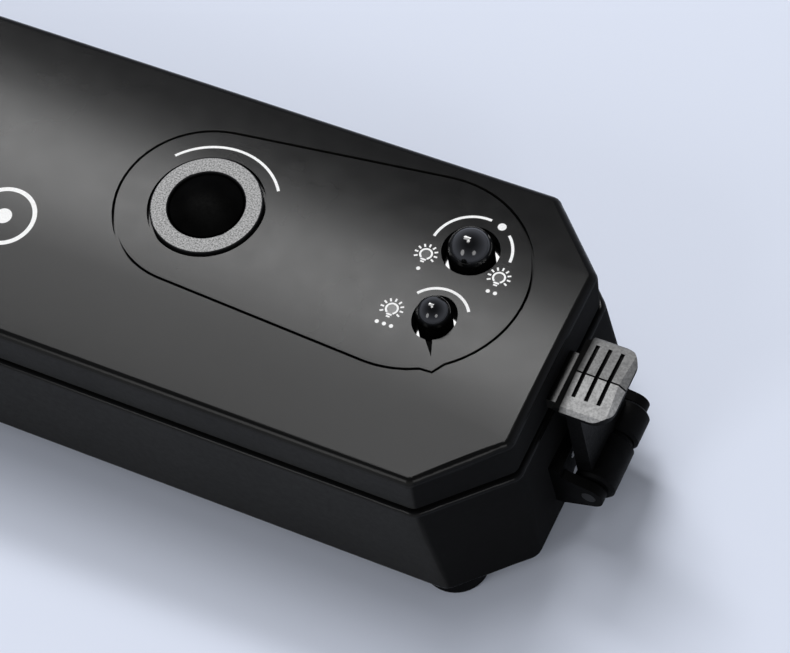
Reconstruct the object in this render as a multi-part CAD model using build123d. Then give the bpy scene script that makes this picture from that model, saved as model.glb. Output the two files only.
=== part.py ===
from build123d import *
import math
import os

os.makedirs("parts", exist_ok=True)

# Outlines of lid and base, cut at forty five degrees at the four corners
lid_length = 336.0
lid_width = 60.0
lid_corner_cut = 12.6
outline_rounding = 2.0
least_rounding = 0.5
base_ledge = 0.9
base_end_flare = 2.4
base_low_cut = 11.7
lid_wall = 2.2
base_wall = 1.8

# Heights
foot_height = 4.0
base_height = 24.6
lid_gap = 0.6
lid_height = 9.2
lid_crown = 1.1
lid_edge_radius = 1.5
roof_thickness = 3.0
base_top_radius = 0.8
base_bottom_radius = 1.5

# Plates inside
plate_clearance = 0.2
cover_thickness = 2.0
deck_thickness = 2.0
deck_drop = 3.6
liner_thickness = 2.0
liner_drop = 1.0
support_rib_height = 2.0
support_rib_width = 1.6
rib_overlap = 0.5

# Vacuum trough and the two gaskets round it
trough_end_room = 24.0
trough_front_room = 20.5
trough_back_room = 19.5
trough_depth = 6.0
trough_wall = 1.6
trough_corner = 5.0
gasket_margin = 2.0
gasket_width = 4.0
gasket_groove = 0.8
gasket_gap = 0.1
gasket_corner = 7.0

# Heater and pressure strip
heater_front_room = 8.0
heater_end_room = 18.0
heater_width = 8.0
heater_height = 1.8
strip_width = 3.0
strip_thickness = 0.3
strip_side_room = 0.2
strip_depth = 0.35
tape_end_room = 3.0
tape_width = 8.6
tape_thickness = 0.2
pressure_width = 7.0
pressure_recess = 0.8
pressure_gap = 0.1
terminal_length = 5.0
terminal_width = 6.0
terminal_gap = 0.2
terminal_post_radius = 1.2
terminal_post_length = 5.0
terminal_hole_room = 0.2

# Lid hinge at the back
hinge_out = 1.0
hinge_end_room = 73.0
knuckle_radius = 2.2
knuckle_room = 0.3
lid_knuckle_length = 9.4
base_knuckle_length = 6.0
knuckle_side_gap = 0.3
hinge_pin_radius = 1.0
hinge_pin_room = 0.05

# Latch at each end
bracket_standoff = 1.5
pivot_out = 7.3
pivot_height = 14.2
barrel_radius = 3.7
barrel_half_width = 8.0
barrel_edge = 0.5
barrel_groove_rear = 2.0
barrel_groove_front = 1.2
barrel_groove_depth = 0.8
arm_half_width = 7.2
arm_inner_top = 2.9
arm_inner_low = 4.2
arm_outer_top = 5.5
arm_outer_low = 7.0
grip_inner = 2.0
grip_outer = 10.6
grip_half_width = 7.6
grip_top = 36.4
grip_side_drop = 0.5
grip_thickness = 2.0
grip_corner = 3.4
grip_edge = 0.7
groove_first = 3.3
groove_spacing = 2.2
groove_count = 3
groove_width = 0.7
groove_depth = 0.45
groove_rear_room = 1.7
groove_front_room = 3.0
crease_width = 0.3
crease_depth = 0.25
nose_reach = 1.4
nose_height = 1.7
nose_tip = 0.6
nose_drop = 0.4
nose_half_width = 7.0
slot_top = 21.5
slot_low = 9.0
slot_leg_room = 0.9
slot_end_room = 0.4
catch_out = 1.8
catch_half_width = 5.0
catch_low = 30.4
catch_high = 33.0
catch_ramp = 1.0
latch_pin_radius = 1.25
latch_pin_room = 0.05

# Latch bracket and spring
bracket_plate = 2.4
bracket_low = 9.4
bracket_high = 19.5
ear_gap = 0.4
ear_thickness = 1.8
ear_radius = 2.6
ear_root_low = 9.4
ear_root_high = 17.8
bracket_screw_y = 4.5
bracket_screw_low = 11.0
bracket_screw_high = 17.0
bracket_screw_radius = 1.0
bracket_screw_head = 2.0
bracket_screw_head_height = 1.4
spring_radius = 2.4
spring_wire = 0.25
spring_pitch = 0.95
spring_turns = 3
spring_leg_top = 20.5
spring_leg_gap = 0.05
spring_coil_room = 0.3
spring_y = -1.5

# Release valve in the lid
valve_shift = 0.3
valve_y = 5.6
ring_outer = 9.8
ring_inner = 6.7
ring_groove = 0.5
ring_seat_room = 0.1
ring_seat_depth = 1.8
ring_top = 0.5
ring_edge = 0.3
valve_radius = 6.3
valve_dome = 1.2
valve_rise = 1.4
valve_flange_radius = 8.4
valve_flange = 1.1
flange_room = 0.3
valve_stem_radius = 2.0
valve_stem_hole_room = 0.5
valve_seal_radius = 4.0
valve_seal_height = 1.4
valve_seal_gap = 0.1
valve_foot_radius = 2.6
valve_foot_height = 0.7
valve_spring_radius = 5.2
valve_spring_wire = 0.35
valve_spring_turns = 3

# Control panel set into the lid
panel_end_room = 28.6
panel_back_room = 3.5
panel_span = 39.0
panel_left_y = 5.6
panel_left_radius = 15.6
panel_right_y = 7.3
tip_places = [(12.2, -7.4), (10.7, -9.8), (8.3, -9.9), (7.6, -6.0)]
panel_groove = 0.5
panel_thickness = 1.2

# Press buttons
vacuum_shift = 7.0
vacuum_y = 13.9
vacuum_radius = 4.0
vacuum_well = 5.0
seal_shift = 6.9
seal_y = -0.36
seal_radius = 3.0
seal_well_x = 3.75
seal_well_y = 4.4
tail_places = [(6.7, -4.2), (8.3, -4.2), (9.5, -7.4)]
seal_tail_depth = 0.5
vacuum_dome = 3.8
seal_dome = 2.85
button_rise = 4.2
button_flange_room = 0.6
button_flange = 0.8
button_stem_radius = 1.5
button_stem = 0.4

# Button board under the panel
board_left_reach = 9.4
board_right_reach = 15.6
board_front = -6.0
board_back = 17.6
board_thickness = 1.2
board_standoff = 0.6
tact_size = 6.0
tact_height = 1.6
tact_hole_depth = 1.3
plunger_radius = 1.6
plunger_room = 0.15
plunger_length = 1.4
lamp_shifts = [(0.3, 10.55), (13.6, 10.7), (-0.4, -1.4)]
lamp_length = 2.0
lamp_width = 1.25
lamp_height = 0.8
lens_radius = 1.0
lens_room = 0.1
lens_bottom_gap = 0.3
lens_flange_radius = 1.4
lens_flange = 0.7

# Fasteners of the liner and of the bottom cover
liner_screw_end_room = 11.0
liner_screw_side_room = 9.0
liner_screw_middle = 60.0
liner_screw_back_room = 7.5
cover_screw_end_room = 32.0
cover_screw_back_room = 8.0
cover_screw_front_room = 7.5
cover_screw_middle = 70.0
cover_screw_middle_back_room = 6.5
cover_screw_middle_front_room = 7.0
boss_radius = 2.6
post_radius = 3.2
screw_radius = 1.25
screw_hole_room = 0.05
screw_pass_room = 0.25
screw_bite = 4.0
screw_head_radius = 2.2
screw_head_height = 1.1
screw_head_room = 0.2
screw_slot_width = 0.6
screw_slot_depth = 0.5

# Rubber feet
foot_end_room = 10.6
foot_side_room = 6.5
foot_radius = 5.9
foot_edge = 0.8

# Pump in the rear bay
motor_back_room = 9.7
motor_z = 14.6
motor_radius = 8.2
motor_shell = 1.0
motor_left = -34.0
motor_length = 32.0
motor_cap = 1.5
shaft_radius = 1.0
shaft_room = 0.08
shaft_stub = 2.0
armature_radius = 6.4
armature_end_gap = 3.0
pump_length = 20.0
pump_size = 14.0
pump_wall = 1.7
pump_cap_thickness = 3.0
eccentric_radius = 3.4
eccentric_offset = 1.0
eccentric_gap = 4.0
eccentric_thickness = 5.0
diaphragm_thickness = 1.2
diaphragm_room = 0.1
nozzle_radius = 1.9
nozzle_bore = 1.1
nozzle_length = 6.0
nozzle_z = 10.0
nozzle_inset = 6.0
outlet_length = 3.0
pump_screw_inset = 2.2
pump_screw_radius = 0.8
pump_screw_head = 1.5
pump_screw_head_height = 1.0
pump_screw_bite = 5.0
saddle_thickness = 3.0
saddle_inset = 5.0
saddle_height = 5.0
saddle_half_width = 7.0
saddle_room = 0.1

# Hose from the pump to the trough
port_x = 62.0
port_y = 2.0
port_flange_radius = 3.4
port_flange = 0.9
port_seat_room = 0.1
port_hole_room = 0.1
port_length = 4.8
hose_radius = 2.8
hose_room = 0.05
hose_bend = 4.0
hose_grip = 4.0
port_grip = 3.0

# Power board in the front bay
power_end_room = 40.0
power_length = 80.0
power_front_room = 1.8
power_back = 6.0
power_thickness = 1.6
standoff_height = 3.0
standoff_radius = 2.5
standoff_inset = 4.0
transformer_inset = 12.0
transformer_length = 22.0
transformer_front_room = 2.2
transformer_width = 14.0
transformer_height = 10.5
core_overhang = 2.0
core_drop = 2.5
capacitor_insets = (46.0, 58.0)
capacitor_front_room = 8.2
capacitor_radius = 4.5
capacitor_height = 11.0
relay_inset = 34.0
relay_length = 15.0
relay_front_room = 20.2
relay_width = 10.0
relay_height = 6.5

# Switch that senses the closed lid
switch_end_room = 10.0
switch_length = 12.8
switch_width = 6.0
switch_height = 6.8
switch_gap = 0.1
switch_pin_radius = 1.2
switch_pin_room = 0.15
switch_pin_hole = 1.9
switch_pin_depth = 1.0
switch_deck_room = 0.5
switch_pin_top = 26.2
presser_radius = 2.0
presser_gap = 0.3

# Cord inlet in the back wall
inlet_end_room = 28.0
inlet_z = 14.0
inlet_radius = 4.6
inlet_bore = 3.1
inlet_flange_radius = 6.0
inlet_flange = 1.4
inlet_room = 0.1

# Leads
lead_radius = 0.8
lead_bend = 3.0
lead_spacing = 3.0
lead_front_room = 2.8
lead_route_z = 16.5
lead_motor_z = 13.0
lead_motor_side = 1.5
lead_board_inset = 6.0
lead_board_y = -2.0
lead_turn = 6.0
lead_board_end_room = 4.0

# Levels that follow from the heights
base_rim = foot_height + base_height
lid_rim = base_rim + lid_gap
lid_top = lid_rim + lid_height
roof_under = lid_top - roof_thickness
cover_top = foot_height + cover_thickness
deck_top = base_rim - deck_drop
deck_under = deck_top - deck_thickness
trough_floor = deck_top - trough_depth
liner_bottom = base_rim - liner_drop
liner_top = liner_bottom + liner_thickness
gasket_meet = (deck_top + liner_bottom) / 2
lid_half = lid_length / 2
bracket_face = lid_half + bracket_standoff
base_back = lid_width / 2 + base_ledge
inner_wall = base_wall - base_ledge
lid_side = lid_width / 2
hinge_y = lid_side + hinge_out
hinge_z = (base_rim + lid_rim) / 2
pivot_x = bracket_face + pivot_out
crown_radius = ((lid_width / 2) ** 2 + lid_crown**2) / (2 * lid_crown)

# Places that follow from the outlines
trough_length = lid_length - 2 * trough_end_room
trough_front = trough_front_room - lid_side
trough_back = lid_side - trough_back_room
heater_y = heater_front_room - lid_side
heater_length = lid_length - 2 * heater_end_room
tape_length = heater_length - 2 * tape_end_room
hinge_station = lid_half - hinge_end_room
panel_right_x = lid_half - panel_end_room
panel_left_x = panel_right_x - panel_span
panel_right_radius = lid_side - panel_right_y - panel_back_room
panel_tip = [(panel_right_x + x, y) for x, y in tip_places]
valve_x = panel_left_x + valve_shift
vacuum_x = panel_right_x + vacuum_shift
seal_x = panel_right_x + seal_shift
seal_tail = [(panel_right_x + x, y) for x, y in tail_places]
lamp_places = [(panel_right_x + x, y) for x, y in lamp_shifts]
board_left = panel_right_x - board_left_reach
board_right = panel_right_x + board_right_reach
foot_x = lid_half - foot_end_room
foot_y = lid_side - foot_side_room
liner_screw_x = lid_half - liner_screw_end_room
liner_screw_y = lid_side - liner_screw_side_room
liner_screw_back = lid_side - liner_screw_back_room
liner_screws = [
    (liner_screw_x, liner_screw_y),
    (liner_screw_x, -liner_screw_y),
    (liner_screw_middle, liner_screw_back),
    (-liner_screw_middle, liner_screw_back),
    (-liner_screw_x, liner_screw_y),
    (-liner_screw_x, -liner_screw_y),
]
cover_screw_x = lid_half - cover_screw_end_room
cover_screw_back = lid_side - cover_screw_back_room
cover_screw_front = cover_screw_front_room - lid_side
cover_screws = [
    (cover_screw_x, cover_screw_back),
    (cover_screw_x, cover_screw_front),
    (-cover_screw_x, cover_screw_back),
    (-cover_screw_x, cover_screw_front),
    (0, cover_screw_middle_front_room - lid_side),
    (cover_screw_middle, lid_side - cover_screw_middle_back_room),
]
motor_y = lid_side - motor_back_room
power_left = power_end_room - lid_half
power_right = power_left + power_length
power_front = power_front_room - lid_side
transformer_left = power_left + transformer_inset
transformer_front = power_front + transformer_front_room
capacitor_places = [(power_left + inset, power_front + capacitor_front_room) for inset in capacitor_insets]
relay_left = power_left + relay_inset
relay_front = power_front + relay_front_room
switch_x = lid_half - switch_end_room
inlet_x = inlet_end_room - lid_half
lead_route_y = lead_front_room - lid_side
lead_motor_y = motor_y - lead_motor_side
lead_board_x = power_right - lead_board_inset
lead_board_left = power_left + lead_board_end_room
lead_board_right = power_right - lead_board_end_room


def octagon(inset):
    # Lid outline, moved inward by the inset
    half_x = lid_length / 2 - inset
    half_y = lid_width / 2 - inset
    cut = lid_corner_cut - inset * (2 - math.sqrt(2))
    return cut_rectangle(half_x, half_y, cut, max(outline_rounding - inset, least_rounding))


def cut_rectangle(half_x, half_y, cut, rounding):
    points = [
        (half_x, cut - half_y),
        (half_x, half_y - cut),
        (half_x - cut, half_y),
        (cut - half_x, half_y),
        (-half_x, half_y - cut),
        (-half_x, cut - half_y),
        (cut - half_x, -half_y),
        (half_x - cut, -half_y),
    ]
    outline = make_face(Polyline(*points, close=True))
    return fillet(outline.vertices(), rounding)


def slab(outline, low, high):
    return extrude(Pos(0, 0, low) * outline, amount=high - low, dir=(0, 0, 1))


def block(x0, x1, y0, y1, z0, z1):
    return Pos((x0 + x1) / 2, (y0 + y1) / 2, (z0 + z1) / 2) * Box(x1 - x0, y1 - y0, z1 - z0)


def post(x, y, radius, low, high):
    return Pos(x, y, (low + high) / 2) * Cylinder(radius, high - low)


def rod_x(x0, x1, y, z, radius):
    return Pos((x0 + x1) / 2, y, z) * Rot(0, 90, 0) * Cylinder(radius, x1 - x0)


def rod_y(x, y0, y1, z, radius):
    return Pos(x, (y0 + y1) / 2, z) * Rot(90, 0, 0) * Cylinder(radius, y1 - y0)


def side_profile(points, half_width):
    # Polygon given in X and Z, drawn out evenly to both sides along Y
    face = make_face(Plane.XZ * Polyline(*points, close=True))
    return extrude(face, amount=half_width, both=True)


def crown_body(depth):
    # Everything below the crowned top, lowered by the depth
    roller = Rot(0, 90, 0) * Cylinder(crown_radius, lid_length * 2)
    return Pos(0, 0, lid_top - depth - crown_radius) * roller


def crown_height(y):
    return lid_top - crown_radius + math.sqrt(crown_radius**2 - y**2)


def dome(x, y, radius, rise, top):
    # Ball whose cap of this radius is as high as the rise
    ball = (radius**2 + rise**2) / (2 * rise)
    return Pos(x, y, top - ball) * Sphere(ball)


def loop(length, front, back, corner):
    return Pos(0, (front + back) / 2) * RectangleRounded(length, back - front, corner)


def screw(x, y, low, bite, radius, head_radius, head_height):
    # Screw from below with a slotted head
    head = post(x, y, head_radius, low, low + head_height)
    shank = post(x, y, radius, low + head_height, low + head_height + bite)
    slot = block(
        x - head_radius,
        x + head_radius,
        y - screw_slot_width / 2,
        y + screw_slot_width / 2,
        low,
        low + screw_slot_depth,
    )
    return head + shank - slot


def tube(path, radius, bore):
    start = Plane(path @ 0, z_dir=path % 0)
    outer = sweep(start * Circle(radius), path=path)
    if bore == 0:
        return outer
    return outer - sweep(start * Circle(bore), path=path)


def panel_face(margin):
    # Two circles joined by their outer tangents, with a small pointed tip, grown by the margin
    span_x = panel_right_x - panel_left_x
    span_y = panel_right_y - panel_left_y
    heading = math.atan2(span_y, span_x)
    lean = math.acos((panel_left_radius - panel_right_radius) / math.hypot(span_x, span_y))
    touch = []
    for turn in (heading + lean, heading, heading - lean, heading + math.pi):
        left_reach = panel_left_radius + margin
        right_reach = panel_right_radius + margin
        left = (panel_left_x + left_reach * math.cos(turn), panel_left_y + left_reach * math.sin(turn))
        right = (panel_right_x + right_reach * math.cos(turn), panel_right_y + right_reach * math.sin(turn))
        touch.append((left, right))
    outline = [
        Line(touch[0][0], touch[0][1]),
        ThreePointArc(touch[0][1], touch[1][1], touch[2][1]),
        Line(touch[2][1], touch[2][0]),
        ThreePointArc(touch[2][0], touch[3][0], touch[0][0]),
    ]
    corners = []
    for x, y in panel_tip:
        away = math.hypot(x - panel_right_x, y - panel_right_y)
        grow = 1 + margin / away
        corner_x = panel_right_x + (x - panel_right_x) * grow
        corner_y = panel_right_y + (y - panel_right_y) * grow
        corners.append((corner_x, corner_y))
    return make_face(outline) + make_face(Polyline(*corners, close=True))


def least_gap(path, wire, turns):
    # Smallest distance between the surfaces of neighbouring turns, on points along the path
    per_turn = 48
    count = per_turn * turns
    points = [path @ (step / count) for step in range(count + 1)]
    nearest = path.length
    for first in range(count):
        for second in range(first + per_turn // 2, count + 1):
            nearest = min(nearest, (points[first] - points[second]).length)
    return round(nearest - 2 * wire, 3)


def save(node, shape):
    export_step(shape, "parts/" + node + ".step")


# Hinge knuckles, in pairs for the base and singly for the lid
lid_knuckles = []
base_knuckles = []
for station in (-hinge_station, hinge_station):
    lid_knuckles.append((station - lid_knuckle_length / 2, station + lid_knuckle_length / 2))
    inner = lid_knuckle_length / 2 + knuckle_side_gap
    base_knuckles.append((station - inner - base_knuckle_length, station - inner))
    base_knuckles.append((station + inner, station + inner + base_knuckle_length))
pin_reach = lid_knuckle_length / 2 + knuckle_side_gap + base_knuckle_length
pin_bores = []
hinge_pins = []
for station in (-hinge_station, hinge_station):
    pin_x0 = station - pin_reach
    pin_x1 = station + pin_reach
    pin_bores.append(rod_x(pin_x0, pin_x1, hinge_y, hinge_z, hinge_pin_radius + hinge_pin_room))
    hinge_pins.append(rod_x(pin_x0, pin_x1, hinge_y, hinge_z, hinge_pin_radius))
save("hinge_pins", Compound(hinge_pins))

# Base shell: outer wall with two support ribs
base_low_half = lid_half + base_ledge + base_end_flare
base_low = cut_rectangle(base_low_half, base_back, base_low_cut, outline_rounding + base_ledge)
base_high = octagon(-base_ledge)
base_outer = loft([Pos(0, 0, foot_height) * base_low, Pos(0, 0, base_rim) * base_high], ruled=True)
base_outer = fillet(base_outer.faces().sort_by(Axis.Z)[-1].edges(), base_top_radius)
base_outer = fillet(base_outer.faces().sort_by(Axis.Z)[0].edges(), base_bottom_radius)
base_shell = base_outer - slab(octagon(inner_wall), foot_height, base_rim)
rib_ring = octagon(inner_wall - rib_overlap) - octagon(inner_wall + support_rib_width)
base_shell += slab(rib_ring, deck_under - support_rib_height, deck_under)
base_shell += slab(rib_ring, cover_top, cover_top + support_rib_height)
for x0, x1 in base_knuckles:
    base_shell += rod_x(x0, x1, hinge_y, hinge_z, knuckle_radius)
for x0, x1 in lid_knuckles:
    room_x0 = x0 - knuckle_side_gap
    room_x1 = x1 + knuckle_side_gap
    base_shell -= rod_x(room_x0, room_x1, hinge_y, hinge_z, knuckle_radius + knuckle_room)
for bore in pin_bores:
    base_shell -= bore
inlet_inside = base_back - base_wall * 2
inlet_outside = base_back + base_wall
base_shell -= rod_y(inlet_x, inlet_inside, inlet_outside, inlet_z, inlet_radius + inlet_room)
for side in (-1, 1):
    for z in (bracket_screw_low, bracket_screw_high):
        for y in (-bracket_screw_y, bracket_screw_y):
            ends = sorted((side * (bracket_face - base_wall * 2), side * (bracket_face + base_wall)))
            base_shell -= rod_x(ends[0], ends[1], y, z, bracket_screw_radius + screw_pass_room)
save("base_shell", base_shell)

# Cord grommet in the back wall
inlet_inner = base_back - base_wall
grommet = rod_y(inlet_x, inlet_inner, base_back, inlet_z, inlet_radius)
grommet += rod_y(inlet_x, inlet_inner - inlet_flange, inlet_inner, inlet_z, inlet_flange_radius)
grommet -= rod_y(inlet_x, inlet_inner - inlet_flange, base_back, inlet_z, inlet_bore)
save("cord_grommet", grommet)

# Work deck with the trough, the gasket groove and the screw posts
deck = slab(octagon(inner_wall + plate_clearance), deck_under, deck_top)
trough_outer = loop(
    trough_length + 2 * trough_wall,
    trough_front - trough_wall,
    trough_back + trough_wall,
    trough_corner + trough_wall,
)
deck += slab(trough_outer, trough_floor - trough_wall, deck_top)
deck -= slab(loop(trough_length, trough_front, trough_back, trough_corner), trough_floor, deck_top)
gasket_inner_length = trough_length + 2 * gasket_margin
gasket_inner_front = trough_front - gasket_margin
gasket_inner_back = trough_back + gasket_margin
gasket_loop = loop(
    gasket_inner_length + 2 * gasket_width,
    gasket_inner_front - gasket_width,
    gasket_inner_back + gasket_width,
    gasket_corner + gasket_width,
)
gasket_loop -= loop(gasket_inner_length, gasket_inner_front, gasket_inner_back, gasket_corner)
deck -= slab(gasket_loop, deck_top - gasket_groove, deck_top)
for x, y in cover_screws:
    deck += post(x, y, post_radius, cover_top, deck_under)
    deck -= post(x, y, screw_radius + screw_hole_room, cover_top, cover_top + screw_bite)
terminal_x = heater_length / 2 + terminal_gap + terminal_length / 2
for side in (-1, 1):
    post_hole = terminal_post_radius + terminal_hole_room
    deck -= post(side * terminal_x, heater_y, post_hole, deck_under, deck_top)
deck -= post(switch_x, 0, switch_pin_radius + switch_deck_room, deck_under, deck_top)
deck -= post(port_x, port_y, nozzle_radius + port_hole_room, trough_floor - trough_wall, trough_floor)
port_top = trough_floor - port_seat_room
deck -= post(port_x, port_y, port_flange_radius + port_seat_room, port_top - port_flange, trough_floor)
save("work_deck", deck)

# Gaskets meet halfway between deck and liner
save("lower_gasket", slab(gasket_loop, deck_top - gasket_groove, gasket_meet - gasket_gap / 2))
save("upper_gasket", slab(gasket_loop, gasket_meet + gasket_gap / 2, liner_bottom + gasket_groove))

# Heater: holder, strip in its groove, cover tape and end terminals
heater_top = deck_top + heater_height
half_heater = heater_length / 2
strip_groove = strip_width / 2 + strip_side_room
holder = block(
    -half_heater,
    half_heater,
    heater_y - heater_width / 2,
    heater_y + heater_width / 2,
    deck_top,
    heater_top,
)
holder -= block(
    -half_heater,
    half_heater,
    heater_y - strip_groove,
    heater_y + strip_groove,
    heater_top - strip_depth,
    heater_top,
)
save("heater_holder", holder)
strip = block(
    -half_heater,
    half_heater,
    heater_y - strip_width / 2,
    heater_y + strip_width / 2,
    heater_top - strip_depth,
    heater_top - strip_depth + strip_thickness,
)
save("heating_strip", strip)
tape = block(
    -tape_length / 2,
    tape_length / 2,
    heater_y - tape_width / 2,
    heater_y + tape_width / 2,
    heater_top,
    heater_top + tape_thickness,
)
save("heater_tape", tape)
terminals = []
for side in (-1, 1):
    centre = side * terminal_x
    clamp = block(
        centre - terminal_length / 2,
        centre + terminal_length / 2,
        heater_y - terminal_width / 2,
        heater_y + terminal_width / 2,
        deck_top,
        heater_top - strip_depth,
    )
    stem = post(centre, heater_y, terminal_post_radius, deck_top - terminal_post_length, deck_top)
    terminals.append(clamp + stem)
save("heater_terminals", Compound(terminals))

# Bottom cover with saddles for the motor and standoffs for the power board
cover = slab(octagon(inner_wall + plate_clearance), foot_height, cover_top)
for x, y in cover_screws:
    cover -= post(x, y, screw_radius + screw_pass_room, foot_height, cover_top)
    cover -= post(x, y, screw_head_radius + screw_head_room, foot_height, foot_height + screw_head_height)
motor_right = motor_left + motor_length
saddles = [motor_left + saddle_inset, motor_right - saddle_inset - saddle_thickness]
for x in saddles:
    cover += block(
        x,
        x + saddle_thickness,
        motor_y - saddle_half_width,
        motor_y + saddle_half_width,
        cover_top,
        cover_top + saddle_height,
    )
cover -= rod_x(motor_left, motor_right, motor_y, motor_z, motor_radius + saddle_room)
pump_low = motor_z - pump_size / 2
pump_right = motor_right + pump_length
cover += block(
    motor_right + saddle_thickness,
    pump_right - saddle_thickness,
    motor_y - saddle_half_width,
    motor_y + saddle_half_width,
    cover_top,
    pump_low,
)
board_z = cover_top + standoff_height
for x in (power_left + standoff_inset, power_right - standoff_inset):
    for y in (power_front + standoff_inset, power_back - standoff_inset):
        cover += post(x, y, standoff_radius, cover_top, board_z)
save("bottom_cover", cover)
cover_set = []
for x, y in cover_screws:
    bite = cover_thickness - screw_head_height + screw_bite
    cover_set.append(screw(x, y, foot_height, bite, screw_radius, screw_head_radius, screw_head_height))
save("cover_screws", Compound(cover_set))

# Four round feet under the corners
feet = []
for x in (-foot_x, foot_x):
    for y in (-foot_y, foot_y):
        foot = post(x, y, foot_radius, 0, foot_height)
        feet.append(fillet(foot.faces().sort_by(Axis.Z)[0].edges(), foot_edge))
save("rubber_feet", Compound(feet))

# Pump motor: can, and the rotor with shaft, armature and eccentric
can = rod_x(motor_left, motor_right, motor_y, motor_z, motor_radius)
can -= rod_x(motor_left + motor_cap, motor_right - motor_cap, motor_y, motor_z, motor_radius - motor_shell)
can -= rod_x(motor_left, motor_right, motor_y, motor_z, shaft_radius + shaft_room)
save("motor_can", can)
eccentric_left = motor_right + eccentric_gap
rotor = rod_x(motor_left - shaft_stub, eccentric_left + eccentric_thickness, motor_y, motor_z, shaft_radius)
rotor += rod_x(
    motor_left + motor_cap + armature_end_gap,
    motor_right - motor_cap - armature_end_gap,
    motor_y,
    motor_z,
    armature_radius,
)
rotor += rod_x(
    eccentric_left,
    eccentric_left + eccentric_thickness,
    motor_y,
    motor_z + eccentric_offset,
    eccentric_radius,
)
save("motor_rotor", rotor)

# Pump head with its diaphragm, cap, inlet nozzle and screws
half_pump = pump_size / 2
chamber_radius = half_pump - pump_wall
pump_high = pump_low + pump_size
head = block(motor_right, pump_right, motor_y - half_pump, motor_y + half_pump, pump_low, pump_high)
head -= rod_x(motor_right + pump_wall, pump_right, motor_y, motor_z, chamber_radius)
head -= rod_x(motor_right, pump_right, motor_y, motor_z, shaft_radius + shaft_room)
nozzle_x = motor_right + nozzle_inset
pump_front = motor_y - half_pump
head += rod_y(nozzle_x, pump_front - nozzle_length, pump_front + pump_wall / 2, nozzle_z, nozzle_radius)
head -= rod_y(nozzle_x, pump_front - nozzle_length, motor_y, nozzle_z, nozzle_bore)
screw_reach = half_pump - pump_screw_inset
corners = []
for dy in (-screw_reach, screw_reach):
    for dz in (-screw_reach, screw_reach):
        corners.append((motor_y + dy, motor_z + dz))
for y, z in corners:
    head -= rod_x(pump_right - pump_screw_bite, pump_right, y, z, pump_screw_radius + screw_hole_room)
save("pump_head", head)
diaphragm_left = pump_right - diaphragm_thickness
diaphragm = rod_x(diaphragm_left, pump_right, motor_y, motor_z, chamber_radius - diaphragm_room)
save("pump_diaphragm", diaphragm)
cap_right = pump_right + pump_cap_thickness
cap = block(pump_right, cap_right, motor_y - half_pump, motor_y + half_pump, pump_low, pump_low + pump_size)
cap += rod_x(cap_right, cap_right + outlet_length, motor_y, motor_z, nozzle_radius)
cap -= rod_x(pump_right, cap_right + outlet_length, motor_y, motor_z, nozzle_bore)
for y, z in corners:
    cap -= rod_x(pump_right, cap_right, y, z, pump_screw_radius + screw_pass_room)
save("pump_cap", cap)
pump_set = []
for y, z in corners:
    shank = rod_x(pump_right - pump_screw_bite, cap_right, y, z, pump_screw_radius)
    pump_set.append(shank + rod_x(cap_right, cap_right + pump_screw_head_height, y, z, pump_screw_head))
save("pump_screws", Compound(pump_set))

# Port in the trough floor and the hose that joins it to the pump
port_low = trough_floor - port_length
port = post(port_x, port_y, port_flange_radius, port_top - port_flange, port_top)
port += post(port_x, port_y, nozzle_radius, port_low, port_top)
port -= post(port_x, port_y, nozzle_bore, port_low, port_top)
save("trough_port", port)
hose_path = FilletPolyline(
    (nozzle_x, pump_front - nozzle_length + hose_grip, nozzle_z),
    (nozzle_x, port_y, nozzle_z),
    (port_x, port_y, nozzle_z),
    (port_x, port_y, port_low + port_grip),
    radius=hose_bend,
)
save("vacuum_hose", tube(hose_path, hose_radius, nozzle_radius + hose_room))

# Power board with transformer, capacitors and relay
power_top = board_z + power_thickness
save("power_board", block(power_left, power_right, power_front, power_back, board_z, power_top))
transformer = block(
    transformer_left,
    transformer_left + transformer_length,
    transformer_front,
    transformer_front + transformer_width,
    power_top,
    power_top + transformer_height - core_drop,
)
transformer += block(
    transformer_left + core_overhang,
    transformer_left + transformer_length - core_overhang,
    transformer_front + core_overhang,
    transformer_front + transformer_width - core_overhang,
    power_top,
    power_top + transformer_height,
)
save("transformer", transformer)
components = []
for x, y in capacitor_places:
    components.append(post(x, y, capacitor_radius, power_top, power_top + capacitor_height))
relay = block(
    relay_left,
    relay_left + relay_length,
    relay_front,
    relay_front + relay_width,
    power_top,
    power_top + relay_height,
)
components.append(relay)
save("board_components", Compound(components))

# Leads from the board to the motor and to the heater terminals
motor_leads = []
for step in (0, lead_spacing):
    motor_path = FilletPolyline(
        (motor_left, lead_motor_y - step, lead_motor_z),
        (motor_left - lead_turn - step, lead_motor_y - step, lead_motor_z),
        (motor_left - lead_turn - step, lead_board_y - step, lead_motor_z),
        (lead_board_x, lead_board_y - step, lead_motor_z),
        (lead_board_x, lead_board_y - step, power_top),
        radius=lead_bend - lead_radius,
    )
    motor_leads.append(tube(motor_path, lead_radius, 0))
save("motor_leads", Compound(motor_leads))
heater_leads = []
for side, board_x in ((-1, lead_board_left), (1, lead_board_right)):
    heater_path = FilletPolyline(
        (board_x, lead_route_y, power_top),
        (board_x, lead_route_y, lead_route_z),
        (side * terminal_x, lead_route_y, lead_route_z),
        (side * terminal_x, heater_y, lead_route_z),
        (side * terminal_x, heater_y, deck_top - terminal_post_length),
        radius=lead_bend / 2,
    )
    heater_leads.append(tube(heater_path, lead_radius, 0))
save("heater_leads", Compound(heater_leads))

# Switch under the deck, worked by the presser on the liner
switch_high = deck_under - switch_gap
switch = block(
    switch_x - switch_width / 2,
    switch_x + switch_width / 2,
    -switch_length / 2,
    switch_length / 2,
    switch_high - switch_height,
    switch_high,
)
switch -= post(switch_x, 0, switch_pin_radius + switch_pin_room, switch_high - switch_pin_hole, switch_high)
save("lid_switch", switch)
switch_pin_low = switch_high - switch_pin_depth
save("lid_switch_plunger", post(switch_x, 0, switch_pin_radius, switch_pin_low, switch_pin_top))

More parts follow.
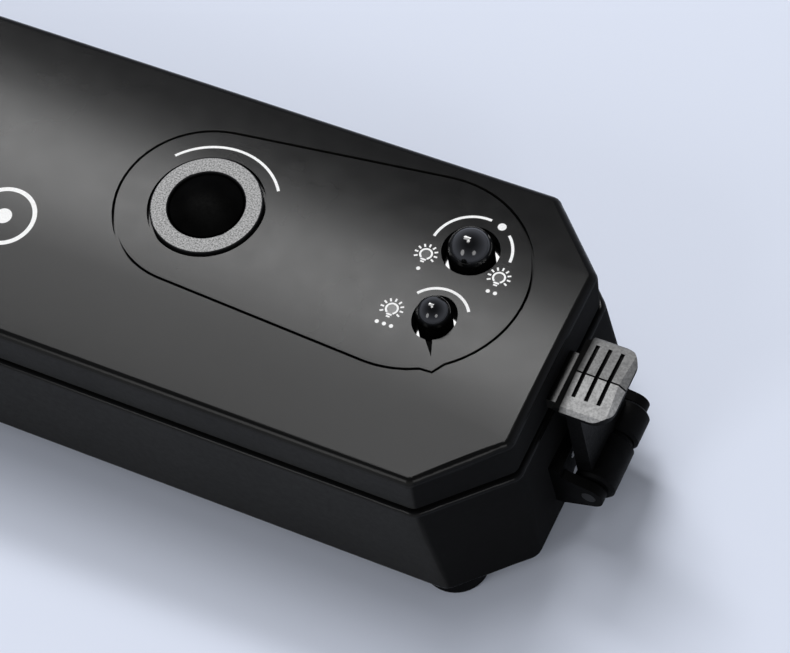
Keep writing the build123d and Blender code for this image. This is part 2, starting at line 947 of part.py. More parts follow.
# Lid shell: crowned cap with panel recess, screw bosses, end catches and hinge knuckles
lid = slab(octagon(0), lid_rim, lid_top + lid_crown) & crown_body(0)
lid = fillet(lid.faces().sort_by(Axis.Z)[-1].edges(), lid_edge_radius)
lid -= slab(octagon(lid_wall), lid_rim, roof_under)
for x, y in liner_screws:
    lid += post(x, y, boss_radius, liner_top, roof_under)
    lid -= post(x, y, screw_radius + screw_hole_room, liner_top, liner_top + screw_bite)
recess = slab(panel_face(panel_groove), roof_under, lid_top + lid_crown)
lid -= recess - crown_body(panel_thickness)
lid -= post(valve_x, valve_y, ring_outer + ring_seat_room, lid_top - ring_seat_depth, lid_top)
lid -= post(valve_x, valve_y, ring_inner, roof_under, lid_top)
lid -= post(vacuum_x, vacuum_y, vacuum_well, roof_under, lid_top)
seal_well = Pos(seal_x, seal_y) * Ellipse(seal_well_x, seal_well_y)
lid -= slab(seal_well, roof_under, lid_top)
for x, y in lamp_places:
    lid -= post(x, y, lens_radius + lens_room, roof_under, lid_top)
for side in (-1, 1):
    inner_x = side * (lid_half - lid_wall / 2)
    outer_x = side * (lid_half + catch_out)
    catch_profile = [
        (inner_x, catch_low),
        (outer_x - side * catch_ramp, catch_low),
        (outer_x, catch_low + catch_ramp),
        (outer_x, catch_high),
        (inner_x, catch_high),
    ]
    lid += side_profile(catch_profile, catch_half_width)
for x0, x1 in base_knuckles:
    room_x0 = x0 - knuckle_side_gap
    room_x1 = x1 + knuckle_side_gap
    lid -= rod_x(room_x0, room_x1, hinge_y, hinge_z, knuckle_radius + knuckle_room)
for x0, x1 in lid_knuckles:
    lid += rod_x(x0, x1, hinge_y, hinge_z, knuckle_radius)
for bore in pin_bores:
    lid -= bore
save("lid_shell", lid)

# Lid liner with the grooves of gasket and pressure strip
liner = slab(octagon(lid_wall + plate_clearance), liner_bottom, liner_top)
liner -= slab(gasket_loop, liner_bottom, liner_bottom + gasket_groove)
pressure_front = heater_y - pressure_width / 2
pressure_back = heater_y + pressure_width / 2
pressure_top = liner_bottom + pressure_recess
liner -= block(-half_heater, half_heater, pressure_front, pressure_back, liner_bottom, pressure_top)
liner -= post(valve_x, valve_y, valve_stem_radius + valve_stem_hole_room, liner_bottom, liner_top)
for x, y in liner_screws:
    liner -= post(x, y, screw_radius + screw_pass_room, liner_bottom, liner_top)
    liner -= post(x, y, screw_head_radius + screw_head_room, liner_bottom, liner_bottom + screw_head_height)
liner += post(switch_x, 0, presser_radius, switch_pin_top + presser_gap, liner_bottom)
board_low = liner_top + board_standoff
for x in (board_left + standoff_radius, board_right - standoff_radius):
    for y in (board_front + standoff_radius, board_back - standoff_radius):
        liner += post(x, y, standoff_radius, liner_top, board_low)
save("lid_liner", liner)
pressure_low = heater_top + tape_thickness + pressure_gap
strip_bar = block(-half_heater, half_heater, pressure_front, pressure_back, pressure_low, pressure_top)
save("pressure_strip", strip_bar)
liner_set = []
for x, y in liner_screws:
    bite = liner_thickness - screw_head_height + screw_bite
    liner_set.append(screw(x, y, liner_bottom, bite, screw_radius, screw_head_radius, screw_head_height))
save("liner_screws", Compound(liner_set))

# Control panel, as thick as its recess is deep
panel = slab(panel_face(0), roof_under, lid_top + lid_crown) & crown_body(0)
panel -= crown_body(panel_thickness)
panel -= post(valve_x, valve_y, ring_outer + ring_groove, roof_under, lid_top)
panel -= post(vacuum_x, vacuum_y, vacuum_well, roof_under, lid_top)
panel -= slab(seal_well, roof_under, lid_top)
for x, y in lamp_places:
    panel -= post(x, y, lens_radius + lens_room, roof_under, lid_top)
tail = slab(make_face(Polyline(*seal_tail, close=True)), roof_under, lid_top)
panel -= tail - crown_body(seal_tail_depth)
save("control_panel", panel)

# Release valve: ring, button with stem, seal washer and return spring
ring_low = lid_top - ring_seat_depth
ring_high = lid_top + ring_top
ring = post(valve_x, valve_y, ring_outer, ring_low, ring_high)
ring -= post(valve_x, valve_y, ring_inner, ring_low, ring_high)
ring = fillet(ring.faces().sort_by(Axis.Z)[-1].edges(), ring_edge)
save("valve_ring", ring)
valve_top = lid_top + valve_rise
flange_high = roof_under - flange_room
flange_low = flange_high - valve_flange
valve_cap = post(valve_x, valve_y, valve_radius, flange_low, valve_top)
valve_cap &= dome(valve_x, valve_y, valve_radius, valve_dome, valve_top)
valve = valve_cap + post(valve_x, valve_y, valve_flange_radius, flange_low, flange_high)
seal_high = liner_bottom - valve_seal_gap
seal_low = seal_high - valve_seal_height
stem_low = seal_low - valve_foot_height
valve += post(valve_x, valve_y, valve_stem_radius, stem_low, flange_low)
valve += post(valve_x, valve_y, valve_foot_radius, stem_low, seal_low)
save("valve_button", valve)
washer = post(valve_x, valve_y, valve_seal_radius, seal_low, seal_high)
washer -= post(valve_x, valve_y, valve_stem_radius, seal_low, seal_high)
save("valve_seal", washer)
coil_height = flange_low - liner_top - 2 * valve_spring_wire
coil_start = Pos(valve_x, valve_y, liner_top + valve_spring_wire)
coil_path = coil_start * Helix(coil_height / valve_spring_turns, coil_height, valve_spring_radius)
save("valve_spring", tube(coil_path, valve_spring_wire, 0))
print("valve spring least gap", least_gap(coil_path, valve_spring_wire, valve_spring_turns))

# Press buttons
button_high = roof_under - flange_room
button_low = button_high - button_flange
press_low = button_low - button_stem
vacuum_top = crown_height(vacuum_y) + button_rise
vacuum_button = post(vacuum_x, vacuum_y, vacuum_radius, button_low, vacuum_top)
vacuum_button &= dome(vacuum_x, vacuum_y, vacuum_radius, vacuum_dome, vacuum_top)
vacuum_button += post(vacuum_x, vacuum_y, vacuum_radius, button_low, vacuum_top - vacuum_dome)
vacuum_button += post(vacuum_x, vacuum_y, vacuum_well + button_flange_room, button_low, button_high)
vacuum_button += post(vacuum_x, vacuum_y, button_stem_radius, press_low, button_low)
save("vacuum_seal_button", vacuum_button)
seal_top = crown_height(seal_y) + button_rise
seal_button = post(seal_x, seal_y, seal_radius, button_low, seal_top)
seal_button &= dome(seal_x, seal_y, seal_radius, seal_dome, seal_top)
seal_button += post(seal_x, seal_y, seal_radius, button_low, seal_top - seal_dome)
seal_button += post(seal_x, seal_y, seal_well_y + button_flange_room, button_low, button_high)
seal_button += post(seal_x, seal_y, button_stem_radius, press_low, button_low)
save("seal_button", seal_button)

# Button board with switches, plungers, lamps and lenses
board_top = board_low + board_thickness
save("button_board", block(board_left, board_right, board_front, board_back, board_low, board_top))
tact_top = board_top + tact_height
tacts = []
for x, y in ((vacuum_x, vacuum_y), (seal_x, seal_y)):
    half = tact_size / 2
    tact = block(x - half, x + half, y - half, y + half, board_top, tact_top)
    tacts.append(tact - post(x, y, plunger_radius + plunger_room, tact_top - tact_hole_depth, tact_top))
save("tact_switches", Compound(tacts))
save("vacuum_seal_plunger", post(vacuum_x, vacuum_y, plunger_radius, press_low - plunger_length, press_low))
save("seal_plunger", post(seal_x, seal_y, plunger_radius, press_low - plunger_length, press_low))
lamps = []
lenses = []
lens_low = board_top + lamp_height + lens_bottom_gap
for x, y in lamp_places:
    lamps.append(
        block(
            x - lamp_length / 2,
            x + lamp_length / 2,
            y - lamp_width / 2,
            y + lamp_width / 2,
            board_top,
            board_top + lamp_height,
        )
    )
    lens = post(x, y, lens_radius, lens_low, lid_top) & crown_body(0)
    lenses.append(lens + post(x, y, lens_flange_radius, roof_under - lens_flange, roof_under))
save("indicator_lamps", Compound(lamps))
save("indicator_lenses", Compound(lenses))

# Latch for the right end: grip, nose, arm and two barrels on the pivot
grip_low = grip_top - grip_thickness
grip_side_top = grip_top - grip_side_drop
grip_shoulder = grip_half_width - grip_edge
grip_face = make_face(
    Plane.YZ
    * Polyline(
        (-grip_half_width, grip_low),
        (grip_half_width, grip_low),
        (grip_half_width, grip_side_top - grip_edge),
        (grip_shoulder, grip_side_top),
        (0, grip_top),
        (-grip_shoulder, grip_side_top),
        (-grip_half_width, grip_side_top - grip_edge),
        close=True,
    )
)
grip_inner_x = bracket_face + grip_inner
grip_outer_x = bracket_face + grip_outer
grip_profile = [
    (grip_inner_x, grip_low),
    (grip_outer_x, grip_low),
    (grip_outer_x, grip_side_top - grip_edge),
    (grip_outer_x - grip_edge - grip_side_drop, grip_top),
    (grip_inner_x, grip_top),
]
grip_plan = Pos((grip_inner_x + grip_outer_x) / 2, 0) * Rectangle(grip_outer - grip_inner, 2 * grip_half_width)
grip_plan = fillet(grip_plan.vertices().sort_by(Axis.X)[-2:], grip_corner)
grip = Pos(grip_inner_x, 0, 0) * extrude(grip_face, amount=grip_outer - grip_inner)
grip = grip & side_profile(grip_profile, grip_half_width) & slab(grip_plan, grip_low, grip_top)
nose_low = grip_low - nose_drop
nose_x = grip_inner_x - nose_reach
nose_profile = [
    (nose_x, nose_low),
    (nose_x, nose_low + nose_tip),
    (grip_inner_x + nose_tip, nose_low + nose_height),
    (bracket_face + arm_inner_top + nose_tip, nose_low + nose_height),
    (bracket_face + arm_inner_top + nose_tip, nose_low),
]
arm_profile = [
    (bracket_face + arm_inner_top, grip_low + grip_thickness / 2),
    (bracket_face + arm_outer_top, grip_low + grip_thickness / 2),
    (bracket_face + arm_outer_low, pivot_height + barrel_radius / 2),
    (bracket_face + arm_outer_low, pivot_height),
    (bracket_face + arm_inner_low, pivot_height),
    (bracket_face + arm_inner_low, pivot_height + barrel_radius / 2),
]
latch = grip + side_profile(nose_profile, nose_half_width) + side_profile(arm_profile, arm_half_width)
for y0, y1 in ((-barrel_half_width, barrel_groove_front), (barrel_groove_rear, barrel_half_width)):
    barrel = rod_y(pivot_x, y0, y1, pivot_height, barrel_radius)
    latch += chamfer(barrel.edges().filter_by(GeomType.CIRCLE), barrel_edge)
neck_radius = barrel_radius - barrel_groove_depth
latch += rod_y(pivot_x, -barrel_half_width, barrel_half_width, pivot_height, neck_radius)
for count in range(groove_count):
    groove_x = bracket_face + groove_first + count * groove_spacing
    latch -= block(
        groove_x - groove_width / 2,
        groove_x + groove_width / 2,
        groove_front_room - grip_half_width,
        grip_half_width - groove_rear_room,
        grip_side_top - groove_depth,
        grip_top,
    )
latch -= block(
    grip_inner_x, grip_outer_x, -crease_width / 2, crease_width / 2, grip_top - crease_depth, grip_top
)
spring_length = spring_pitch * spring_turns
leg_x = pivot_x - spring_radius
slot_front = spring_y - spring_length / 2 - spring_wire - slot_end_room
slot_rear = spring_y + spring_length / 2 + spring_wire + slot_end_room
latch -= rod_y(pivot_x, slot_front, slot_rear, pivot_height, spring_radius + spring_wire + spring_coil_room)
latch -= block(bracket_face, leg_x + spring_wire + slot_leg_room, slot_front, slot_rear, slot_low, slot_top)
latch_bore = latch_pin_radius + latch_pin_room
latch -= rod_y(pivot_x, -barrel_half_width, barrel_half_width, pivot_height, latch_bore)

# Bracket on the base's end wall that carries the latch pin
ear_low = barrel_half_width + ear_gap
ear_high = ear_low + ear_thickness
bracket = block(lid_half, bracket_face + bracket_plate, -ear_high, ear_high, bracket_low, bracket_high)
ear_root = Polyline(
    (lid_half, ear_root_low),
    (bracket_face + bracket_plate, ear_root_low),
    (bracket_face + bracket_plate, ear_root_high),
    (lid_half, ear_root_high),
    close=True,
)
ear_tip = Pos(pivot_x, pivot_height) * Circle(ear_radius)
ear_face = Plane.XZ * make_hull([*ear_tip.edges(), *ear_root.edges()])
for y in (-ear_low, ear_high):
    bracket += Pos(0, y, 0) * extrude(ear_face, amount=ear_thickness, dir=(0, -1, 0))
bracket -= rod_y(pivot_x, -ear_high, ear_high, pivot_height, latch_pin_radius + latch_pin_room)
bracket -= base_outer
for z in (bracket_screw_low, bracket_screw_high):
    for y in (-bracket_screw_y, bracket_screw_y):
        bracket -= rod_x(lid_half, bracket_face + bracket_plate, y, z, bracket_screw_radius + screw_hole_room)

# Pin and torsion spring in the gap between the barrels
latch_pin = rod_y(pivot_x, -ear_high, ear_high, pivot_height, latch_pin_radius)
spring_front = spring_y - spring_length / 2
spring_place = Pos(pivot_x, spring_front, pivot_height) * Rot(-90, 0, 0) * Rot(0, 0, 180)
spring_path = spring_place * Helix(spring_pitch, spring_length, spring_radius)
spring = tube(spring_path, spring_wire, 0)
print("latch spring least gap", least_gap(spring_path, spring_wire, spring_turns))
spring += post(leg_x, spring_front + spring_length, spring_wire, pivot_height, spring_leg_top)
plate_face = bracket_face + bracket_plate + spring_leg_gap
spring += rod_x(plate_face, leg_x, spring_front, pivot_height, spring_wire)

for node, shape in (
    ("latch", latch),
    ("latch_bracket", bracket),
    ("latch_pin", latch_pin),
    ("latch_spring", spring),
):
    save("right_" + node, shape)
    save("left_" + node, mirror(shape, about=Plane.YZ))

# Screws that hold the two brackets from inside the end walls
bracket_set = []
wall_inside = lid_half - inner_wall
for side in (-1, 1):
    for z in (bracket_screw_low, bracket_screw_high):
        for y in (-bracket_screw_y, bracket_screw_y):
            head_ends = sorted((side * (wall_inside - bracket_screw_head_height), side * wall_inside))
            shank_ends = sorted((side * wall_inside, side * (bracket_face + bracket_plate)))
            piece = rod_x(head_ends[0], head_ends[1], y, z, bracket_screw_head)
            bracket_set.append(piece + rod_x(shank_ends[0], shank_ends[1], y, z, bracket_screw_radius))
save("bracket_screws", Compound(bracket_set))
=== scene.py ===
import math

import bmesh
import bpy
from mathutils import Matrix, Vector, noise


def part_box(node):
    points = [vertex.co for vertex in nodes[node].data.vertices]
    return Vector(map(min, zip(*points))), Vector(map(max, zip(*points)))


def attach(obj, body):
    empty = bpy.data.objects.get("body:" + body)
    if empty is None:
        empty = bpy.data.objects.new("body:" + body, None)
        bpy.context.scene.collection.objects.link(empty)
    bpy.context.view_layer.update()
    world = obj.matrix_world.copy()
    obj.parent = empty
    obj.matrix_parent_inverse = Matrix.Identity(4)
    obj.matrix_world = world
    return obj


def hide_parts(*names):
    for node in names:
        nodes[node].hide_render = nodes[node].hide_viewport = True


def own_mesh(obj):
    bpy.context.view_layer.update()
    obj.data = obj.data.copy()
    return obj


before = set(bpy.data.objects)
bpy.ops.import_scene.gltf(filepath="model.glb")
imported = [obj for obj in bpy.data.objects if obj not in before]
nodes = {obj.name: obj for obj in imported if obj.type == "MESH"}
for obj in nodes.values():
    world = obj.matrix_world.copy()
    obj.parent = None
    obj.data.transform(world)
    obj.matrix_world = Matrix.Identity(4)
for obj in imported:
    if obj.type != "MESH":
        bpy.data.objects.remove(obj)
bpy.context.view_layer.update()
scene = bpy.context.scene
MM = 0.001

# Camera fitted to the photograph, angles in degrees and lengths in millimetres
camera_azimuth = 34.4
camera_elevation = 57.655
camera_roll = -10.895
camera_aim = (106.5, 0.0, 38.4)
camera_across = 29.19
camera_down = 14.21
camera_distance = 502.5
photo_width = 790
focal_pixels = 2981.0
sensor = 36.0

# Crowned top that carries the printed marks, in millimetres
lid_top = 38.4
crown_half_width = 30.0
crown_drop = 1.1
crown_radius = (crown_half_width**2 + crown_drop**2) / (2 * crown_drop)
print_lift = 0.03


# Camera
azimuth = math.radians(camera_azimuth)
elevation = math.radians(camera_elevation)
roll = math.radians(camera_roll)
back = Vector((
    math.sin(azimuth) * math.cos(elevation),
    -math.cos(azimuth) * math.cos(elevation),
    math.sin(elevation),
))
level = Vector((math.cos(azimuth), math.sin(azimuth), 0))
upright = back.cross(level)
right = level * math.cos(roll) + upright * math.sin(roll)
up = upright * math.cos(roll) - level * math.sin(roll)
eye = Vector(camera_aim) + right * camera_across - up * camera_down + back * camera_distance
camera = bpy.data.objects.new("camera", bpy.data.cameras.new("camera"))
camera.data.sensor_width = sensor
camera.data.lens = sensor * focal_pixels / photo_width
camera.data.clip_start = 0.01
camera.matrix_world = Matrix((
    (right.x, up.x, back.x, eye.x * MM),
    (right.y, up.y, back.y, eye.y * MM),
    (right.z, up.z, back.z, eye.z * MM),
    (0, 0, 0, 1),
))
scene.collection.objects.link(camera)
scene.camera = camera
scene.view_settings.view_transform = "Standard"


# Material helpers
def start_material(name):
    made = bpy.data.materials.new(name)
    made.use_nodes = True
    tree = made.node_tree
    place = tree.nodes.new("ShaderNodeTexCoord")
    return made, tree, tree.nodes["Principled BSDF"], place.outputs["Object"]


def grain(tree, place, scale, detail=3.0, kind="ShaderNodeTexNoise"):
    texture = tree.nodes.new(kind)
    texture.inputs["Scale"].default_value = scale
    if kind == "ShaderNodeTexNoise":
        texture.inputs["Detail"].default_value = detail
    tree.links.new(place, texture.inputs["Vector"])
    return texture


def compare(tree, value, limit):
    # One where the value is over the limit, and nought elsewhere
    test = tree.nodes.new("ShaderNodeMath")
    test.operation = "GREATER_THAN"
    test.inputs[1].default_value = limit
    tree.links.new(value, test.inputs[0])
    return test.outputs["Value"]


def fade(tree, value, first, last, low=0.0, high=1.0):
    # Low at the first value, high at the last, and held beyond them
    slope = tree.nodes.new("ShaderNodeMapRange")
    slope.inputs["From Min"].default_value = first
    slope.inputs["From Max"].default_value = last
    slope.inputs["To Min"].default_value = low
    slope.inputs["To Max"].default_value = high
    tree.links.new(value, slope.inputs["Value"])
    return slope.outputs["Result"]


def vary(tree, value, low, high):
    # Noise lies mostly between these two values
    return fade(tree, value, 0.3, 0.7, low, high)


def spread(tree, value, low, high, socket):
    tree.links.new(vary(tree, value, low, high), socket)


def calculate(tree, operation, *values):
    step = tree.nodes.new("ShaderNodeMath")
    step.operation = operation
    for socket, value in zip(step.inputs, values):
        tree.links.new(value, socket)
    return step.outputs["Value"]


def product(tree, first, *others):
    total = first
    for other in others:
        total = calculate(tree, "MULTIPLY", total, other)
    return total


def split_axes(tree, vector):
    split = tree.nodes.new("ShaderNodeSeparateXYZ")
    tree.links.new(vector, split.inputs["Vector"])
    return split.outputs["X"], split.outputs["Y"], split.outputs["Z"]


def tint(tree, value, dark, light, socket=None, low=0.35, high=0.65):
    ramp = tree.nodes.new("ShaderNodeValToRGB")
    ramp.color_ramp.elements[0].position = low
    ramp.color_ramp.elements[1].position = high
    ramp.color_ramp.elements[0].color = (*dark, 1)
    ramp.color_ramp.elements[1].color = (*light, 1)
    tree.links.new(value, ramp.inputs["Fac"])
    if socket is not None:
        tree.links.new(ramp.outputs["Color"], socket)
    return ramp.outputs["Color"]


def blend_colours(tree, share, first, second, socket):
    paint = tree.nodes.new("ShaderNodeMix")
    paint.data_type = "RGBA"
    tree.links.new(share, paint.inputs["Factor"])
    tree.links.new(first, paint.inputs["A"])
    tree.links.new(second, paint.inputs["B"])
    tree.links.new(paint.outputs["Result"], socket)


def rough_skin(tree, shader, value, depth, strength=0.4):
    bump = tree.nodes.new("ShaderNodeBump")
    bump.inputs["Strength"].default_value = strength
    bump.inputs["Distance"].default_value = depth * MM
    tree.links.new(value, bump.inputs["Height"])
    tree.links.new(bump.outputs["Normal"], shader.inputs["Normal"])


def moulded(
    name, dark, light, smooth, rough, fine=2600.0, depth=0.012, specular=0.5, slow=45.0, **sockets
):
    # Moulded plastic: fine skin, slow changes of tone and of gloss
    made, tree, shader, place = start_material(name)
    tone = grain(tree, place, slow).outputs["Fac"]
    tint(tree, tone, dark, light, shader.inputs["Base Color"])
    gloss = grain(tree, place, slow * 6).outputs["Fac"]
    spread(tree, gloss, smooth, rough, shader.inputs["Roughness"])
    rough_skin(tree, shader, grain(tree, place, fine, 2.0).outputs["Fac"], depth)
    shader.inputs["Specular IOR Level"].default_value = specular
    for socket, value in sockets.items():
        shader.inputs[socket.replace("_", " ")].default_value = value
    return made


def metal(name, dark, light, smooth, rough, stretch, depth=0.01):
    # Drawn or turned metal with fine lines along one direction
    made, tree, shader, place = start_material(name)
    lines = tree.nodes.new("ShaderNodeMapping")
    lines.inputs["Scale"].default_value = stretch
    tree.links.new(place, lines.inputs["Vector"])
    fine = grain(tree, lines.outputs["Vector"], 900.0, 4.0).outputs["Fac"]
    tone = grain(tree, place, 120.0).outputs["Fac"]
    tint(tree, tone, dark, light, shader.inputs["Base Color"])
    spread(tree, fine, smooth, rough, shader.inputs["Roughness"])
    rough_skin(tree, shader, fine, depth, 0.3)
    shader.inputs["Metallic"].default_value = 1.0
    return made


def grey(value):
    return (value, value, value)


# Plain materials of the outside
matte_black = moulded(
    "matte_black", grey(0.0015), grey(0.003), 0.42, 0.55, fine=1900.0, depth=0.03, specular=0.03
)
gloss_black = moulded(
    "gloss_black", grey(0.0012), grey(0.0022), 0.07, 0.10, fine=900.0, depth=0.002, specular=0.6
)
valve_black = moulded(
    "valve_black", grey(0.0006), grey(0.0014), 0.36, 0.46,
    fine=2400.0, depth=0.02, specular=0.008, slow=260.0,
)
rubber_black = moulded(
    "rubber_black", grey(0.002), grey(0.004), 0.62, 0.78, fine=1500.0, depth=0.04, specular=0.05
)
lens_black = moulded(
    "lens_black", grey(0.0045), grey(0.0065), 0.18, 0.22, depth=0.005, specular=0.2
)
black_steel = moulded(
    "black_steel", grey(0.006), grey(0.011), 0.30, 0.40,
    fine=1600.0, depth=0.01, specular=0.2, Metallic=0.4,
)

# Shell: satin on top and round the edges, finely matted on the upright walls, and duller at
# the ends than along the long sides. The walls and edge rounds of the long sides are a lighter,
# warmer black than the top as a painted sheen, and the ends keep the darker black as painted
# shade. A long side turns into an end as the X of its normal goes from the first value to the
# last
end_first, end_last = 0.35, 0.60
shell_black, tree, shader, place = start_material("shell_black")
slow = grain(tree, place, 45.0).outputs["Fac"]
flat_skin = tint(tree, slow, grey(0.0032), grey(0.0046))
# Painted sheen: a lighter, warmer black for the walls and edge rounds of the long sides
painted_side_sheen = tint(tree, slow, (0.0106, 0.0102, 0.0090), (0.0134, 0.0129, 0.0115))
slope_x, _, slope_z = split_axes(tree, place.node.outputs["Normal"])
facing = calculate(tree, "ABSOLUTE", slope_z)
sideways = calculate(tree, "ABSOLUTE", slope_x)
rounded = fade(tree, facing, 0.90, 0.72)
long_side = fade(tree, sideways, end_first, end_last, 1.0, 0.0)
# Share of the painted sheen: none on the top, and fading out at the ends as painted shade
painted_sheen_share = product(tree, rounded, long_side)
blend_colours(tree, painted_sheen_share, flat_skin, painted_side_sheen, shader.inputs["Base Color"])
matted = fade(tree, facing, 0.45, 0.15)
mottle = vary(tree, grain(tree, place, 270.0).outputs["Fac"], 0.17, 0.19)
wall_rough = vary(tree, grain(tree, place, 900.0).outputs["Fac"], 0.36, 0.44)
end_rough = fade(tree, sideways, end_first, end_last, 0.0, 0.42)
wall_rough = calculate(tree, "ADD", wall_rough, end_rough)
rough = calculate(tree, "ADD", mottle, product(tree, matted, wall_rough))
tree.links.new(rough, shader.inputs["Roughness"])
rough_skin(tree, shader, grain(tree, place, 2600.0, 2.0).outputs["Fac"], 0.006)
shader.inputs["Specular IOR Level"].default_value = 0.102

# Panel: satin black on its crowned face, and a darker black as painted shade, fully rough, in
# what is sunk this far below it
sunk_depth = 0.2
panel_black, tree, shader, place = start_material("panel_black")
_, along, height = split_axes(tree, place)
middle_level = (lid_top - sunk_depth) * MM
edge_level = (lid_top - crown_drop - sunk_depth) * MM
fall = product(tree, along, along)
face_level = fade(tree, fall, 0, (crown_half_width * MM)**2, middle_level, edge_level)
sunk = calculate(tree, "GREATER_THAN", face_level, height)
satin = tint(tree, grain(tree, place, 45.0).outputs["Fac"], grey(0.0020), grey(0.0034))
# Painted shade: a darker black for the grooves and whatever else is sunk below the face
painted_sunk_shade = tint(tree, grain(tree, place, 300.0).outputs["Fac"], grey(0.0008), grey(0.0014))
blend_colours(tree, sunk, satin, painted_sunk_shade, shader.inputs["Base Color"])
mottle = vary(tree, grain(tree, place, 270.0).outputs["Fac"], 0.17, 0.20)
rough = calculate(tree, "ADD", mottle, sunk)
tree.links.new(rough, shader.inputs["Roughness"])
rough_skin(tree, shader, grain(tree, place, 2600.0, 2.0).outputs["Fac"], 0.006)
shader.inputs["Specular IOR Level"].default_value = 0.1

# Ring of the valve: speckled silver on its flat face, black round its sides
silver_speckle, tree, shader, place = start_material("silver_speckle")
speckle = grain(tree, place, 3600.0, 2.0).outputs["Fac"]
silver = tint(tree, speckle, grey(0.13), grey(0.39), low=0.34, high=0.64)
side = tint(tree, grain(tree, place, 300.0).outputs["Fac"], grey(0.003), grey(0.006))
facing = split_axes(tree, place.node.outputs["Normal"])[2]
blend_colours(tree, compare(tree, facing, 0.95), side, silver, shader.inputs["Base Color"])
spread(tree, speckle, 0.60, 0.42, shader.inputs["Roughness"])
rough_skin(tree, shader, speckle, 0.03)
shader.inputs["Specular IOR Level"].default_value = 0.2

# Ink of the printed marks
print_white, tree, shader, place = start_material("print_white")
ink = grain(tree, place, 3000.0).outputs["Fac"]
tint(tree, ink, grey(0.74), grey(0.84), shader.inputs["Base Color"])
spread(tree, ink, 0.50, 0.65, shader.inputs["Roughness"])
rough_skin(tree, shader, ink, 0.01)
shader.inputs["Specular IOR Level"].default_value = 0.15

# Latch: black, with a painted reflection on the grip: a pale brushed grey on the top face and
# on the bevels round it, brighter on the front half as a painted highlight, and black as painted
# shade in the grooves, in the crease between the halves and fading towards the nose. Lengths
# in millimetres
grip_level = 35.75
bevel_level = 35.0
nose_end, grip_start = 171.3, 172.9
crease_half, crease_edge = 0.13, 0.19
half_blend = 0.25
rear_share, front_share = 0.45, 0.80
latch_painted_reflection, tree, shader, place = start_material("latch_painted_reflection")
across, along, height = split_axes(tree, place)
facing = split_axes(tree, place.node.outputs["Normal"])[2]
flat = compare(tree, facing, 0.9)
on_top_face = product(tree, compare(tree, height, grip_level * MM), flat)
rolled = calculate(tree, "SUBTRACT", fade(tree, facing, 0.35, 0.75), flat)
on_bevel = product(tree, compare(tree, height, bevel_level * MM), rolled)
outward = calculate(tree, "ABSOLUTE", across)
from_crease = calculate(tree, "ABSOLUTE", along)
sparks = grain(tree, place, 2400.0, 4.0).outputs["Fac"]
cloud = grain(tree, place, 420.0, 2.0).outputs["Fac"]
# Share of the painted reflection: top face and bevels, fading out towards the nose, none in the
# crease, more on the front half
painted_reflection_share = product(
    tree,
    calculate(tree, "MAXIMUM", on_top_face, on_bevel),
    fade(tree, outward, nose_end * MM, grip_start * MM),
    fade(tree, from_crease, crease_half * MM, crease_edge * MM),
    fade(tree, along, half_blend * MM, -half_blend * MM, rear_share, front_share),
    vary(tree, cloud, 0.78, 1.0),
)
# Pale grey of the painted reflection on the grip
pale = tint(tree, sparks, grey(0.36), grey(0.56))
black = tint(tree, cloud, grey(0.0015), grey(0.003))
blend_colours(tree, painted_reflection_share, black, pale, shader.inputs["Base Color"])
spread(tree, sparks, 0.45, 0.60, shader.inputs["Roughness"])
rough_skin(tree, shader, sparks, 0.03)
shader.inputs["Specular IOR Level"].default_value = 0.04

# Plain materials of the inside
deck_grey = moulded(
    "deck_grey", grey(0.044), grey(0.056), 0.35, 0.45, fine=1800.0, depth=0.02, specular=0.3
)
liner_grey = moulded(
    "liner_grey", grey(0.052), grey(0.066), 0.38, 0.48, fine=1800.0, depth=0.02, specular=0.3
)
red_silicone = moulded(
    "red_silicone", (0.20, 0.022, 0.016), (0.28, 0.034, 0.024), 0.45, 0.6, fine=1400.0, depth=0.03
)
clear_hose = moulded(
    "clear_hose", (0.62, 0.64, 0.60), (0.72, 0.74, 0.70), 0.2, 0.32,
    fine=800.0, depth=0.01, Transmission_Weight=0.5,
)
phenolic = moulded(
    "phenolic", (0.10, 0.045, 0.018), (0.14, 0.065, 0.028), 0.45, 0.6, fine=700.0, depth=0.03
)
dark_part = moulded(
    "dark_part", grey(0.018), grey(0.03), 0.35, 0.5, fine=1500.0, depth=0.02
)
coil_yellow = moulded(
    "coil_yellow", (0.50, 0.34, 0.05), (0.62, 0.44, 0.08), 0.4, 0.5, fine=700.0, depth=0.04
)
lamp_white = moulded(
    "lamp_white", (0.70, 0.70, 0.64), (0.80, 0.80, 0.74), 0.2, 0.3, fine=1500.0, depth=0.01
)
lead_red = moulded(
    "lead_red", (0.36, 0.02, 0.016), (0.46, 0.03, 0.022), 0.35, 0.45, fine=1500.0, depth=0.02
)
steel = metal("steel", grey(0.52), grey(0.62), 0.22, 0.36, (1, 1, 8))
zinc = metal("zinc", (0.50, 0.51, 0.52), (0.62, 0.63, 0.64), 0.28, 0.44, (1, 6, 6))
nichrome = metal("nichrome", (0.40, 0.38, 0.35), (0.50, 0.47, 0.43), 0.3, 0.42, (0.2, 6, 6))
brass = metal("brass", (0.62, 0.44, 0.17), (0.74, 0.55, 0.24), 0.22, 0.36, (1, 6, 6))

# Glass cloth tape over the heater: two crossed sets of threads about 0.1 mm apart
thread_scale = 2909.0909
tape_brown, tree, shader, place = start_material("tape_brown")
threads = []
for direction in ("X", "Y"):
    wave = grain(tree, place, thread_scale, kind="ShaderNodeTexWave")
    wave.bands_direction = direction
    threads.append(wave.outputs["Fac"])
cloth = calculate(tree, "MAXIMUM", *threads)
tint(
    tree, cloth, (0.17, 0.085, 0.03), (0.30, 0.17, 0.07), shader.inputs["Base Color"],
    low=0.2, high=0.9,
)
spread(tree, grain(tree, place, 400.0).outputs["Fac"], 0.35, 0.5, shader.inputs["Roughness"])
rough_skin(tree, shader, cloth, 0.05)

